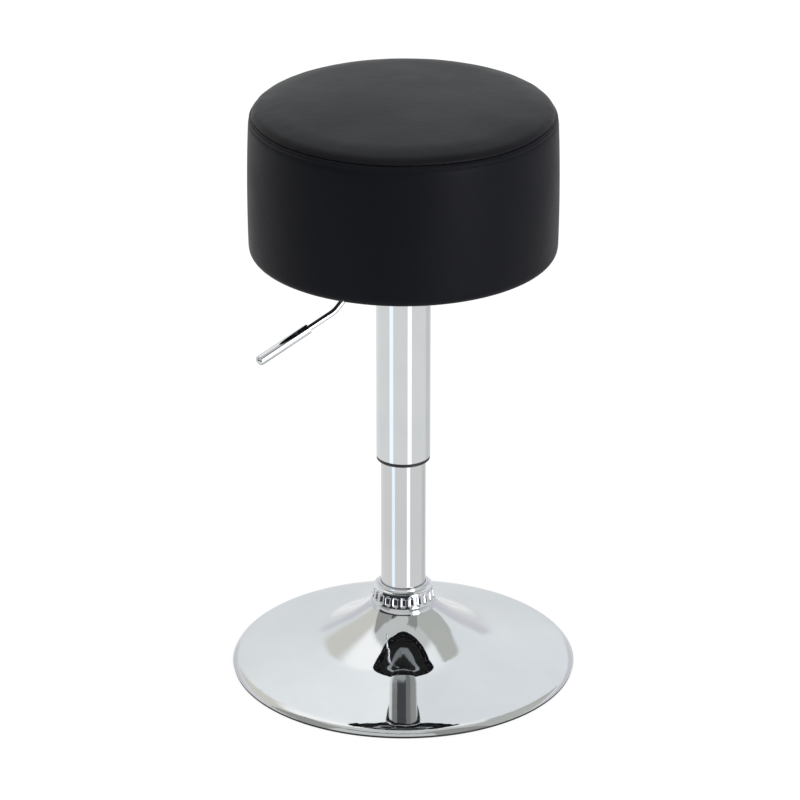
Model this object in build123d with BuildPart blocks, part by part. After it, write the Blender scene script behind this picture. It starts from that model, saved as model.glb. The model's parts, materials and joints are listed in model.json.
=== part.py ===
from build123d import *
import os
from math import asin, cos, degrees, radians, sin

# Gas-lift bar stool: an upholstered drum on a telescopic column and a trumpet base.
# Millimetres, +Z up, origin on the floor under the column. The lever points along -X.
# The seat stands part way up its lift, at the height it has in the photograph.

# Clearances
SNUG = 0.05          # fixed round pieces, one inside the other
RUNNING = 0.06       # shafts that turn or slide in a bush
EASY = 0.3           # soft and pressed pieces beside their neighbours
BEARING_GAP = 0.1    # end play at the thrust bearing

# Base shell: radius and downward slope in degrees at each place where its curve changes
NECK_R = 35.0
NECK_SLOPE = 50.0
THROAT_R = 46.5
THROAT_SLOPE = 41.0
FLARE_R = 69.0
FLARE_SLOPE = 31.8
SKIRT_R = 88.0
SKIRT_SLOPE = 29.0
BREAK_R = 97.0
BREAK_SLOPE = 21.2
DISC_R = 106.5
DISC_SLOPE = 14.9
MID_DISC_R = 140.0
MID_DISC_SLOPE = 14.1
DISC_EDGE_W = 9.0    # where the disc begins to bend into the rim
DISC_EDGE_SLOPE = 13.1
RIM_W = 7.5          # width of the rolled rim
RIM_START_SLOPE = 17.5
BASE_R = 192.5
RIM_SLOPE = 62.0
SHELL_T = 2.0
NECK_HOLE_GAP = 1.0  # round the stand tube

# Black edging under the rim
EDGING_H = 2.6
EDGING_W = 8.0
EDGING_INSET = 0.7
EDGING_LIP_IN = 4.5  # how far in from the rim its inner lip meets the shell

# Socket and brace under the base
SOCKET_WALL = 4.5
SOCKET_LEAD = 6.0    # straight part above the taper
SOCKET_OVER = 2.0    # how far it reaches below the tube
BRACE_EDGE_R = 130.0
BRACE_T = 2.0

# Stand tube and the collar at its foot
STAND_R = 25.0
STAND_T = 2.0
STAND_TAPER_L = 56.0
STAND_TAPER_DROP = 1.8
FOOT_PLATE_UP = 8.0
FOOT_PLATE_T = 4.0
COLLAR_OVERHANG = 2.7    # past the shell's neck
COLLAR_FLANGE_H = 6.1
COLLAR_FLANGE_EDGE = 0.4  # upright part of the flange, below its round
COLLAR_FLANGE_SWELL = 0.56  # share of the round's width and height reached at its middle
COLLAR_LEDGE_W = 2.6
COLLAR_BAND_H = 16.0
COLLAR_BAND_TAPER = 2.6
COLLAR_LIP_W = 2.6
COLLAR_SHOULDER_H = 2.8
COLLAR_SHOULDER_SAG = 0.3  # share of its width and height left at its middle
COLLAR_LIP_H = 2.4
COLLAR_LIP_ROUND = 1.0
FLUTES = 24
FLUTE_R = 4.6
FLUTE_DEPTH = 1.9
FLUTE_L = 15.0

# Thrust bearing and buffer
RACE_T = 2.5
RACE_IN_GAP = 1.0
RACE_W = 7.0
BALLS = 12
BALL_R = 1.9
CAGE_T = 1.6
CAGE_HALF_W = 2.7
BUFFER_H = 10.0
BUFFER_W = 7.0

# Gas spring
ROD_R = 5.0
ROD_STUD_STEP = 1.0
ROD_FLANGE_W = 4.0
ROD_FLANGE_T = 2.0
ROD_HOLE_GAP = 0.6
ROD_TAIL = 2.8       # below its clip
ROD_HEAD = 3.0       # above the piston
CLIP_T = 1.2
CLIP_DEPTH = 0.8
CLIP_W = 3.0         # outside the rod
ROD_WASHER_T = 1.5
ROD_WASHER_W = 4.0
CYL_R = 14.0
CYL_WALL = 2.0
CYL_LIP_T = 2.0
CYL_LIP_GAP = 1.0
CYL_TAPER_L = 38.0
CYL_TAPER_DROP = 0.95
GUIDE_L = 20.0
SEAL_L = 8.0
PISTON_L = 24.0
PISTON_SEAL_L = 4.0
PISTON_SEAL_T = 1.9
VALVE_L = 30.0
PIN_R = 3.0
PIN_TAIL = 4.0
PIN_STANDOUT = 6.0
PIN_ROUND = 2.0

# Lift: travel left up and down from this height, and what stays clear at each end
LIFT_UP = 105.0
LIFT_DOWN = 70.0
END_GAP = 3.0
BUFFER_GAP = 7.0
PISTON_GAP = 6.0
COVER_OVERLAP = 23.9

# Guide bush and cover tube
BUSH_L = 80.0
BUSH_LIP = 2.0
COVER_GAP = 3.8      # between the tubes
COVER_T = 1.2
COVER_LIP_H = 3.9
COVER_LIP_INSET = 0.4
COVER_PLUG_L = 13.0
TOP_RING_UP = 3.0
TOP_RING_L = 10.0
TOP_RING_LIP = 2.0

# Mount plate and hub under the seat
SEAT_Z = 497.6
PLATE_R = 85.0
PLATE_T = 3.0
BOLT_SPACING = 100.0
HUB_WALL = 6.0
HUB_GRIP = 23.0
HUB_CHAMBER_STEP = 0.4

# Lever: measured from the column's axis, in its own upright plane
LEVER_R = 3.5
LEVER_BELOW_PLATE = 8.7
LEVER_LEAD = 9.9     # straight part past the bracket
LEVER_SLANT_X = 43.4
LEVER_KNEE_DROP = 42.9
LEVER_REACH_X = 95.2
LEVER_TIP_DROP = 39.6
LEVER_BEND_RADII = [11.0, 24.0]
TONGUE_H = 8.0
TONGUE_T = 5.0
TONGUE_IN_X = 4.0
TONGUE_LEAD = 5.0
TONGUE_SIDE_GAP = 0.4
TONGUE_PIN_GAP = 0.25
SLOT_DROP = 3.5
PIVOT_OUT = 6.0      # from the hub
PIVOT_R = 2.5
EAR_T = 2.5
EAR_EDGE = 4.5       # round the pivot
EAR_ROUND = 5.0
EAR_WEB_T = 2.0      # joins the ears under the plate
PIVOT_HEAD_W = 1.7
PIVOT_HEAD_T = 1.6
PIVOT_TAIL = 2.5
PIVOT_CLIP_W = 2.1
PIVOT_CLIP_T = 1.0
GRIP_WALL = 2.25
GRIP_L = 68.5
GRIP_CAP = 6.0
GRIP_TIP_FLAT = 1.15
GRIP_END_ROUND = 0.8

# Seat fasteners
BOLT_R = 2.95
BOLT_HOLE_GAP = 0.35
BOLT_HEAD_AF = 10.0
BOLT_HEAD_H = 4.0
WASHER_W = 3.7
WASHER_T = 1.5
TEE_WALL = 1.15
TEE_FLANGE_W = 4.9
TEE_FLANGE_T = 1.2
TEE_NUT_L = 10.0
BOLT_SHORT = 2.0     # how far the bolt ends below the top of its tee nut

# Seat drum
SKIN_T = 1.6         # faux leather with its backing
SEAT_R = 168.0       # at the foot of its wall
BELLY = 1.2          # how far the wall swells
STITCH_IN = 1.4      # how far the stitching draws the wall in
SEAM_IN = 2.8        # and the seam, from there
SEAT_CORNER_R = 9.0
SEAM_UP = 158.3      # seam above the underside
STITCH_DROP = 5.5    # top-stitched fold below the seam
FOLD_IN = 0.3
FOLD_DROP = 1.7
SEAM_GAP = 0.4
CROWN_EDGE_W = 25.0
CROWN_SLOPE = 4.3
SHOULDER_W = 7.8
SHOULDER_SLOPE = 18.0
CROWN_EDGE_SLOPE = 67.0
HEM_W = 29.0
BOARD_T = 15.0
FOAM_SHOULDER_DROP = 3.0
STAPLES = 28
STAPLE_IN = 15.0     # from the hem's inner edge
STAPLE_W = 10.0
STAPLE_WIRE = 0.9
STAPLE_LEG = 8.0


def arc_chain(stations, end_height, depth=0.0):
    """Tangent arcs (start, middle, end) through (radius, slope) stations, inside to outside.

    Heights are worked out from the outer end inwards; depth moves the chain below the surface.
    """
    chain = []
    height = end_height
    spans = list(zip(stations, stations[1:]))
    for (radius_a, slope_a), (radius_b, slope_b) in reversed(spans):
        bend = (radius_b - radius_a) / (sin(radians(slope_a)) - sin(radians(slope_b)))
        height += bend * (cos(radians(slope_b)) - cos(radians(slope_a)))
        points = []
        for slope in (slope_a, (slope_a + slope_b) / 2, slope_b):
            across = radius_a + bend * sin(radians(slope_a)) - (bend + depth) * sin(radians(slope))
            up = height + bend * cos(radians(slope_a)) - (bend + depth) * cos(radians(slope))
            points.append((across, up))
        chain.insert(0, points)
    return chain


def chain_spline(stations, chain):
    """One smooth curve through the starts, middles and ends of an arc chain, with their slopes."""
    points = []
    slopes = []
    for (start, middle, end), (_, slope_a), (_, slope_b) in zip(chain, stations, stations[1:]):
        points += [start, middle]
        slopes += [slope_a, (slope_a + slope_b) / 2]
    points.append(chain[-1][2])
    slopes.append(stations[-1][1])
    return Spline(*points, tangents=[(cos(radians(slope)), -sin(radians(slope))) for slope in slopes])


def chain_point(stations, end_height, radius, depth=0.0):
    """The point of an arc chain at a radius of its surface, moved below the surface by depth."""
    for index, (start, end) in enumerate(zip(stations, stations[1:])):
        if start[0] <= radius <= end[0]:
            along = (radius - start[0]) / (end[0] - start[0])
            sine_a = sin(radians(start[1]))
            sine_b = sin(radians(end[1]))
            slope = degrees(asin(sine_a + along * (sine_b - sine_a)))
            split_stations = stations[: index + 1] + [(radius, slope)] + stations[index + 1:]
            return arc_chain(split_stations, end_height, depth)[index][2]


def turned(outline):
    """A piece turned about the column's axis from a closed outline of (radius, height) points."""
    with BuildPart() as piece:
        with BuildSketch(Plane.XZ):
            with BuildLine():
                Polyline(*outline, close=True)
            make_face()
        revolve(axis=Axis.Z)
    return piece.part


def ring(inner, outer, bottom, top):
    """A plain turned ring."""
    return turned([(inner, bottom), (outer, bottom), (outer, top), (inner, top)])


def save(piece, name):
    """Label a finished piece and write its file."""
    piece.label = name
    export_step(piece, f"parts/{name}.step")


os.makedirs("parts", exist_ok=True)

# Radii and reaches that follow from others
socket_r = STAND_R + SOCKET_WALL
collar_r = NECK_R + COLLAR_OVERHANG
collar_lip_r = STAND_R + COLLAR_LIP_W
race_in = ROD_R + RACE_IN_GAP
race_r = race_in + RACE_W
ball_circle_r = race_in + RACE_W / 2
stud_r = ROD_R - ROD_STUD_STEP
cyl_bore_r = CYL_R - CYL_WALL
cyl_lip_r = ROD_R + CYL_LIP_GAP
cover_r = STAND_R + COVER_GAP + COVER_T
hub_r = CYL_R + HUB_WALL
pivot_x = hub_r + PIVOT_OUT
ear_end_x = pivot_x + PIVOT_R + EAR_EDGE
tongue_out_x = ear_end_x + TONGUE_LEAD
lever_bend_x = ear_end_x + LEVER_LEAD
lever_knee_x = lever_bend_x + LEVER_SLANT_X
lever_tip_x = lever_knee_x + LEVER_REACH_X
grip_r = LEVER_R + GRIP_WALL
bolt_hole_r = BOLT_R + BOLT_HOLE_GAP
tee_barrel_r = BOLT_R + TEE_WALL
tee_flange_r = tee_barrel_r + TEE_FLANGE_W
belly_r = SEAT_R + BELLY
stitch_r = SEAT_R - STITCH_IN
fold_r = stitch_r - FOLD_IN
seam_r = stitch_r - SEAM_IN
corner_in_r = SEAT_R - SEAT_CORNER_R
hem_r = corner_in_r - HEM_W

# Heights, from the floor up
base_stations = [
    (NECK_R, NECK_SLOPE),
    (THROAT_R, THROAT_SLOPE),
    (FLARE_R, FLARE_SLOPE),
    (SKIRT_R, SKIRT_SLOPE),
    (BREAK_R, BREAK_SLOPE),
    (DISC_R, DISC_SLOPE),
    (MID_DISC_R, MID_DISC_SLOPE),
    (BASE_R - RIM_W - DISC_EDGE_W, DISC_EDGE_SLOPE),
    (BASE_R - RIM_W, RIM_START_SLOPE),
    (BASE_R, RIM_SLOPE),
]
shell_outside = arc_chain(base_stations, EDGING_H)
shell_inside = arc_chain(base_stations, EDGING_H, SHELL_T)
neck_top = shell_outside[0][0][1]
socket_top = shell_inside[0][0][1]
taper_top = socket_top - SOCKET_LEAD
stand_foot = taper_top - STAND_TAPER_L
socket_foot = stand_foot - SOCKET_OVER
foot_plate_z = stand_foot + FOOT_PLATE_UP
lower_race_z = foot_plate_z + FOOT_PLATE_T
ball_z = lower_race_z + RACE_T + BEARING_GAP + BALL_R
upper_race_z = ball_z + BALL_R + BEARING_GAP
rod_flange_z = upper_race_z + RACE_T
buffer_z = rod_flange_z + ROD_FLANGE_T
buffer_top = buffer_z + BUFFER_H
rod_washer_z = foot_plate_z - BEARING_GAP - ROD_WASHER_T
clip_z = rod_washer_z - BEARING_GAP - CLIP_T

# Heights, from the seat down
plate_z = SEAT_Z - PLATE_T
lever_z = plate_z - LEVER_BELOW_PLATE
tongue_z = lever_z - TONGUE_H / 2
pin_top = tongue_z - TONGUE_PIN_GAP
cyl_top = pin_top - PIN_STANDOUT
hub_z = cyl_top - HUB_GRIP
bush_top = hub_z - LIFT_DOWN - END_GAP
stand_top = bush_top - BUSH_LIP
cover_lip_z = bush_top - LIFT_UP - COVER_OVERLAP
cover_z = cover_lip_z + COVER_LIP_H
cover_top = hub_z + TOP_RING_UP + TOP_RING_L
cyl_z = buffer_top + LIFT_DOWN + BUFFER_GAP
guide_z = cyl_z + CYL_LIP_T
seal_z = guide_z + GUIDE_L
piston_z = seal_z + SEAL_L + LIFT_UP + PISTON_GAP
piston_top = piston_z + PISTON_L
valve_top = cyl_top - CYL_LIP_T
valve_z = valve_top - VALVE_L
board_z = SEAT_Z + SKIN_T
board_top = board_z + BOARD_T
seam_z = SEAT_Z + SEAM_UP


def stand_radius(height):
    """Outer radius of the stand tube, which tapers at its foot."""
    return STAND_R - STAND_TAPER_DROP * max(0.0, taper_top - height) / STAND_TAPER_L


def cylinder_radius(height):
    """Outer radius of the gas cylinder, which tapers at its top."""
    return CYL_R - CYL_TAPER_DROP * max(0.0, height - cyl_top + CYL_TAPER_L) / CYL_TAPER_L


# Base shell, a pressed trumpet with a flat land round the tube
neck_hole_r = STAND_R + NECK_HOLE_GAP
with BuildPart() as base_shell:
    with BuildSketch(Plane.XZ):
        with BuildLine():
            for wall in (shell_outside, shell_inside):
                chain_spline(base_stations, wall)
            Line(shell_outside[-1][2], shell_inside[-1][2])
            Polyline(
                shell_inside[0][0],
                (neck_hole_r, socket_top),
                (neck_hole_r, neck_top),
                shell_outside[0][0],
            )
        make_face()
    revolve(axis=Axis.Z)
    split(bisect_by=Plane.XY.offset(EDGING_H), keep=Keep.TOP)
save(base_shell.part, "base_shell")

# Black edging that the rim stands on
edging_out = BASE_R - EDGING_INSET
edging_in = edging_out - EDGING_W
edging_lip = chain_point(base_stations, EDGING_H, BASE_R - EDGING_LIP_IN, SHELL_T + EASY)
base_edging = turned([
    (edging_in, 0.0),
    (edging_out, 0.0),
    (edging_out, EDGING_H),
    (edging_lip[0], EDGING_H),
    edging_lip,
    (edging_in, edging_lip[1]),
])
save(base_edging, "base_edging")

# Tapered socket welded under the neck, and the brace that ties it to the shell
base_socket = turned([
    (socket_r, socket_foot),
    (socket_r, socket_top),
    (STAND_R + SNUG, socket_top),
    (STAND_R + SNUG, taper_top),
    (stand_radius(socket_foot) + SNUG, socket_foot),
])
save(base_socket, "base_socket")

brace_edge = chain_point(base_stations, EDGING_H, BRACE_EDGE_R, SHELL_T + EASY)
base_brace = ring(socket_r + SNUG, brace_edge[0], brace_edge[1] - BRACE_T, brace_edge[1])
save(base_brace, "base_brace")

# Stand tube, with the plate in its foot that carries the bearing
foot_r = stand_radius(stand_foot)
stand_tube = turned([
    (STAND_R, stand_top),
    (STAND_R, taper_top),
    (foot_r, stand_foot),
    (foot_r - STAND_T, stand_foot),
    (STAND_R - STAND_T, taper_top),
    (STAND_R - STAND_T, stand_top),
])
save(stand_tube, "stand_tube")

foot_plate_r = stand_radius(foot_plate_z) - STAND_T - EASY
foot_plate = ring(ROD_R + ROD_HOLE_GAP, foot_plate_r, foot_plate_z, lower_race_z)
save(foot_plate, "foot_plate")

# Collar: flange, fluted band, hollow shoulder and a lip round the tube
collar_seat = chain_point(base_stations, EDGING_H, collar_r, -EASY)
collar_top_seat = arc_chain(base_stations, EDGING_H, -EASY)[0][0]
flange_edge = collar_seat[1] + COLLAR_FLANGE_EDGE
flange_top = collar_seat[1] + COLLAR_FLANGE_H
band_r = collar_r - COLLAR_LEDGE_W
flange_middle = (
    band_r + COLLAR_FLANGE_SWELL * (collar_seat[0] - band_r),
    flange_edge + COLLAR_FLANGE_SWELL * (flange_top - flange_edge),
)
band_top_r = band_r - COLLAR_BAND_TAPER
band_top = flange_top + COLLAR_BAND_H
shoulder_top = band_top + COLLAR_SHOULDER_H
lip_top = shoulder_top + COLLAR_LIP_H
shoulder_middle = (
    collar_lip_r + COLLAR_SHOULDER_SAG * (band_top_r - collar_lip_r),
    band_top + COLLAR_SHOULDER_SAG * COLLAR_SHOULDER_H,
)

# One flute's cutter, a capsule laid along the band
flute_lean = Vector(-COLLAR_BAND_TAPER, 0, COLLAR_BAND_H).normalized()
flute_middle = Vector((band_r + band_top_r) / 2 + FLUTE_R - FLUTE_DEPTH, 0, (flange_top + band_top) / 2)
flute_straight = FLUTE_L - 2 * FLUTE_R
flute_low = flute_middle - flute_lean * (flute_straight / 2)
flute_high = flute_middle + flute_lean * (flute_straight / 2)
with BuildPart() as flute:
    with BuildSketch(Plane(origin=flute_low, z_dir=flute_lean)):
        Circle(FLUTE_R)
    extrude(amount=flute_straight)
    with Locations(flute_low, flute_high):
        Sphere(FLUTE_R)

with BuildPart() as collar:
    with BuildSketch(Plane.XZ):
        with BuildLine():
            Polyline(collar_top_seat, collar_seat, (collar_seat[0], flange_edge))
            ThreePointArc((collar_seat[0], flange_edge), flange_middle, (band_r, flange_top))
            Line((band_r, flange_top), (band_top_r, band_top))
            ThreePointArc((band_top_r, band_top), shoulder_middle, (collar_lip_r, shoulder_top))
            Polyline(
                (collar_lip_r, shoulder_top),
                (collar_lip_r, lip_top),
                (STAND_R + SNUG, lip_top),
                (STAND_R + SNUG, collar_top_seat[1]),
                collar_top_seat,
            )
        make_face()
        fillet(vertices().group_by(Axis.Y)[-1], COLLAR_LIP_ROUND)
    revolve(axis=Axis.Z)
    for index in range(FLUTES):
        add(flute.part.rotate(Axis.Z, index * 360 / FLUTES), mode=Mode.SUBTRACT)
save(collar.part, "collar")

# Guide bush in the top of the stand tube
bush_bore_r = CYL_R + RUNNING
bush_r = STAND_R - STAND_T - SNUG
guide_bush = turned([
    (bush_bore_r, stand_top - BUSH_L),
    (bush_r, stand_top - BUSH_L),
    (bush_r, stand_top),
    (STAND_R, stand_top),
    (STAND_R, bush_top),
    (bush_bore_r, bush_top),
])
save(guide_bush, "guide_bush")

# Thrust bearing: two races with caged balls between them
lower_race = ring(race_in, race_r, lower_race_z, lower_race_z + RACE_T)
save(lower_race, "lower_race")
upper_race = ring(race_in, race_r, upper_race_z, upper_race_z + RACE_T)
save(upper_race, "upper_race")

with BuildPart() as ball_cage:
    with BuildSketch(Plane.XY.offset(ball_z - CAGE_T / 2)):
        Circle(ball_circle_r + CAGE_HALF_W)
        Circle(ball_circle_r - CAGE_HALF_W, mode=Mode.SUBTRACT)
        with PolarLocations(ball_circle_r, BALLS):
            Circle(BALL_R + BEARING_GAP, mode=Mode.SUBTRACT)
    extrude(amount=CAGE_T)
save(ball_cage.part, "ball_cage")

with BuildPart() as bearing_balls:
    with Locations((0, 0, ball_z)):
        with PolarLocations(ball_circle_r, BALLS):
            Sphere(BALL_R)
save(bearing_balls.part, "bearing_balls")

# Piston rod: held in the foot plate by its clip, so it turns but doesn't lift
groove_r = ROD_R - CLIP_DEPTH
piston_rod = turned([
    (0.0, clip_z - ROD_TAIL),
    (ROD_R, clip_z - ROD_TAIL),
    (ROD_R, clip_z - SNUG),
    (groove_r, clip_z - SNUG),
    (groove_r, clip_z + CLIP_T + SNUG),
    (ROD_R, clip_z + CLIP_T + SNUG),
    (ROD_R, rod_flange_z),
    (ROD_R + ROD_FLANGE_W, rod_flange_z),
    (ROD_R + ROD_FLANGE_W, buffer_z),
    (ROD_R, buffer_z),
    (ROD_R, piston_z),
    (stud_r, piston_z),
    (stud_r, piston_top + ROD_HEAD),
    (0.0, piston_top + ROD_HEAD),
])
save(piston_rod, "piston_rod")

rod_washer = ring(ROD_R + SNUG, ROD_R + ROD_WASHER_W, rod_washer_z, rod_washer_z + ROD_WASHER_T)
save(rod_washer, "rod_washer")
rod_clip = ring(groove_r + SNUG, ROD_R + CLIP_W, clip_z, clip_z + CLIP_T)
save(rod_clip, "rod_clip")
rod_buffer = ring(ROD_R + SNUG, ROD_R + BUFFER_W, buffer_z, buffer_top)
save(rod_buffer, "rod_buffer")

# Piston with its seal in a groove
piston_middle = (piston_z + piston_top) / 2
piston_r = cyl_bore_r - RUNNING
piston_groove_r = piston_r - PISTON_SEAL_T
seal_half = PISTON_SEAL_L / 2
piston = turned([
    (stud_r + SNUG, piston_z),
    (piston_r, piston_z),
    (piston_r, piston_middle - seal_half - SNUG),
    (piston_groove_r, piston_middle - seal_half - SNUG),
    (piston_groove_r, piston_middle + seal_half + SNUG),
    (piston_r, piston_middle + seal_half + SNUG),
    (piston_r, piston_top),
    (stud_r + SNUG, piston_top),
])
save(piston, "piston")
piston_seal = ring(
    piston_groove_r + SNUG, cyl_bore_r - SNUG, piston_middle - seal_half, piston_middle + seal_half
)
save(piston_seal, "piston_seal")

# Gas cylinder, with the guide and seal at its mouth and the valve at its tapered top
gas_cylinder = turned([
    (cyl_lip_r, cyl_z),
    (CYL_R, cyl_z),
    (CYL_R, cyl_top - CYL_TAPER_L),
    (cylinder_radius(cyl_top), cyl_top),
    (cyl_lip_r, cyl_top),
    (cyl_lip_r, valve_top),
    (cyl_bore_r, valve_top),
    (cyl_bore_r, guide_z),
    (cyl_lip_r, guide_z),
])
save(gas_cylinder, "gas_cylinder")
rod_guide = ring(ROD_R + RUNNING, cyl_bore_r - SNUG, guide_z, seal_z)
save(rod_guide, "rod_guide")
rod_seal = ring(ROD_R + RUNNING, cyl_bore_r - SNUG, seal_z, seal_z + SEAL_L)
save(rod_seal, "rod_seal")
valve_body = ring(PIN_R + RUNNING, cyl_bore_r - SNUG, valve_z, valve_top)
save(valve_body, "valve_body")

with BuildPart() as release_pin:
    with BuildSketch(Plane.XY.offset(valve_z - PIN_TAIL)):
        Circle(PIN_R)
    extrude(amount=pin_top - valve_z + PIN_TAIL)
    fillet(release_pin.edges().sort_by(Axis.Z)[-1], PIN_ROUND)
save(release_pin.part, "release_pin")

# Cover tube, with its guide ring below and its centring ring on the hub
cover_tube = ring(cover_r - COVER_T, cover_r, cover_z, cover_top)
save(cover_tube, "cover_tube")
cover_plug_r = cover_r - COVER_T - SNUG
cover_lip_r = cover_r - COVER_LIP_INSET
cover_guide_ring = turned([
    (STAND_R + EASY, cover_lip_z),
    (cover_lip_r, cover_lip_z),
    (cover_lip_r, cover_z),
    (cover_plug_r, cover_z),
    (cover_plug_r, cover_z + COVER_PLUG_L),
    (STAND_R + EASY, cover_z + COVER_PLUG_L),
])
save(cover_guide_ring, "cover_guide_ring")
cover_top_ring = turned([
    (hub_r + SNUG, hub_z + TOP_RING_UP),
    (cover_plug_r, hub_z + TOP_RING_UP),
    (cover_plug_r, cover_top),
    (cover_r, cover_top),
    (cover_r, cover_top + TOP_RING_LIP),
    (hub_r + SNUG, cover_top + TOP_RING_LIP),
])
save(cover_top_ring, "cover_top_ring")

# Hub: a tapered socket for the cylinder, slotted for the lever's tongue
hub_blank = turned([
    (hub_r, hub_z),
    (hub_r, plate_z),
    (CYL_R - HUB_CHAMBER_STEP, plate_z),
    (CYL_R - HUB_CHAMBER_STEP, cyl_top),
    (cylinder_radius(cyl_top) + SNUG, cyl_top),
    (cylinder_radius(hub_z) + SNUG, hub_z),
])
slot_z = tongue_z - SLOT_DROP
slot_w = TONGUE_T + 2 * TONGUE_SIDE_GAP
with BuildPart() as seat_hub:
    add(hub_blank)
    with BuildSketch(Plane.XY.offset(slot_z)):
        with Locations((-hub_r, 0)):
            Rectangle(2 * hub_r, slot_w)
    extrude(amount=plate_z - slot_z, mode=Mode.SUBTRACT)
save(seat_hub.part, "seat_hub")

# Mount plate that is bolted to the seat board
with BuildPart() as seat_plate:
    with BuildSketch(Plane.XY.offset(plate_z)):
        Circle(PLATE_R)
        with GridLocations(BOLT_SPACING, BOLT_SPACING, 2, 2):
            Circle(bolt_hole_r, mode=Mode.SUBTRACT)
    extrude(amount=PLATE_T)
save(seat_plate.part, "seat_plate")

# Lever bracket: a channel under the plate, with two ears that hold the pivot
ear_in_y = slot_w / 2
ear_out_y = ear_in_y + EAR_T
ear_z = lever_z - PIVOT_R - EAR_EDGE
with BuildPart() as lever_bracket:
    with BuildSketch(Plane.XZ) as ear_side:
        with BuildLine():
            Polyline((0, ear_z), (-ear_end_x, ear_z), (-ear_end_x, plate_z), (0, plate_z), close=True)
        make_face()
        fillet(ear_side.vertices().sort_by(Axis.X)[:2].sort_by(Axis.Y)[0], EAR_ROUND)
    extrude(amount=ear_out_y, both=True)
    with BuildSketch(Plane.XY.offset(ear_z)):
        Rectangle(2 * ear_end_x, 2 * ear_in_y)
    extrude(amount=plate_z - EAR_WEB_T - ear_z, mode=Mode.SUBTRACT)
    with BuildSketch(Plane.XY.offset(ear_z)):
        Circle(hub_r + SNUG)
    extrude(amount=plate_z - ear_z, mode=Mode.SUBTRACT)
    with BuildSketch(Plane.XZ):
        with Locations((-pivot_x, lever_z)):
            Circle(PIVOT_R + SNUG)
    extrude(amount=ear_out_y, both=True, mode=Mode.SUBTRACT)
save(lever_bracket.part, "lever_bracket")

# Pivot pin, headed at one end and clipped at the other
pivot_front = Vector(-pivot_x, -ear_out_y - PIVOT_HEAD_T, lever_z)
with BuildPart() as lever_pivot_pin:
    with BuildSketch(Plane(origin=pivot_front, z_dir=(0, 1, 0))):
        Circle(PIVOT_R + PIVOT_HEAD_W)
    extrude(amount=PIVOT_HEAD_T)
    with BuildSketch(Plane(origin=pivot_front, z_dir=(0, 1, 0))):
        Circle(PIVOT_R)
    extrude(amount=PIVOT_HEAD_T + 2 * ear_out_y + PIVOT_TAIL)
save(lever_pivot_pin.part, "lever_pivot_pin")
with BuildPart() as lever_pivot_clip:
    with BuildSketch(Plane(origin=(-pivot_x, ear_out_y, lever_z), z_dir=(0, 1, 0))):
        Circle(PIVOT_R + PIVOT_CLIP_W)
        Circle(PIVOT_R + SNUG, mode=Mode.SUBTRACT)
    extrude(amount=PIVOT_CLIP_T)
save(lever_pivot_clip.part, "lever_pivot_clip")

# Lever: a flat tongue at the pivot, then a bent round rod
lever_bend = Vector(-lever_bend_x, 0, lever_z)
lever_knee = Vector(-lever_knee_x, 0, lever_z - LEVER_KNEE_DROP)
lever_tip = Vector(-lever_tip_x, 0, lever_z - LEVER_KNEE_DROP - LEVER_TIP_DROP)
grip_way = (lever_tip - lever_knee).normalized()
rod_start = Vector(-ear_end_x - TONGUE_SIDE_GAP, 0, lever_z)
rod_end = lever_tip - grip_way * GRIP_CAP
with BuildPart() as lever_rod:
    with BuildLine():
        FilletPolyline(rod_start, lever_bend, lever_knee, rod_end, radius=LEVER_BEND_RADII)
    with BuildSketch(Plane(origin=rod_start, z_dir=(-1, 0, 0))):
        Circle(LEVER_R)
    sweep()
    with BuildSketch(Plane.XZ):
        with Locations(((TONGUE_IN_X - tongue_out_x) / 2, lever_z)):
            Rectangle(TONGUE_IN_X + tongue_out_x, TONGUE_H)
    extrude(amount=TONGUE_T / 2, both=True)
    with BuildSketch(Plane.XZ):
        with Locations((-pivot_x, lever_z)):
            Circle(PIVOT_R + RUNNING)
    extrude(amount=TONGUE_T, both=True, mode=Mode.SUBTRACT)
save(lever_rod.part, "lever_rod")

# Grip sleeve pushed over the rod's end
grip_start = lever_tip - grip_way * GRIP_L
with BuildPart() as lever_grip:
    with BuildSketch(Plane(origin=grip_start, z_dir=grip_way)):
        Circle(grip_r)
    extrude(amount=GRIP_L)
    grip_rims = lever_grip.edges().filter_by(GeomType.CIRCLE).sort_by(Axis.X)
    fillet(grip_rims[0], grip_r - GRIP_TIP_FLAT)
    fillet(lever_grip.edges().filter_by(GeomType.CIRCLE).sort_by(Axis.X)[-1], GRIP_END_ROUND)
    with BuildSketch(Plane(origin=grip_start, z_dir=grip_way)):
        Circle(LEVER_R + SNUG)
    extrude(amount=GRIP_L - GRIP_CAP, mode=Mode.SUBTRACT)
save(lever_grip.part, "lever_grip")

# Bolts, washers and tee nuts that hold the plate to the board
bolt_seat = plate_z - WASHER_T
tee_flange_z = board_top - TEE_FLANGE_T
with BuildPart() as seat_bolts:
    with BuildSketch(Plane.XY.offset(bolt_seat - BOLT_HEAD_H)):
        with GridLocations(BOLT_SPACING, BOLT_SPACING, 2, 2):
            RegularPolygon(BOLT_HEAD_AF / 2, 6, major_radius=False)
    extrude(amount=BOLT_HEAD_H)
    with BuildSketch(Plane.XY.offset(bolt_seat)):
        with GridLocations(BOLT_SPACING, BOLT_SPACING, 2, 2):
            Circle(BOLT_R)
    extrude(amount=board_top - BOLT_SHORT - bolt_seat)
save(seat_bolts.part, "seat_bolts")

with BuildPart() as bolt_washers:
    with BuildSketch(Plane.XY.offset(bolt_seat)):
        with GridLocations(BOLT_SPACING, BOLT_SPACING, 2, 2):
            Circle(bolt_hole_r + WASHER_W)
            Circle(bolt_hole_r, mode=Mode.SUBTRACT)
    extrude(amount=WASHER_T)
save(bolt_washers.part, "bolt_washers")

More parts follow.
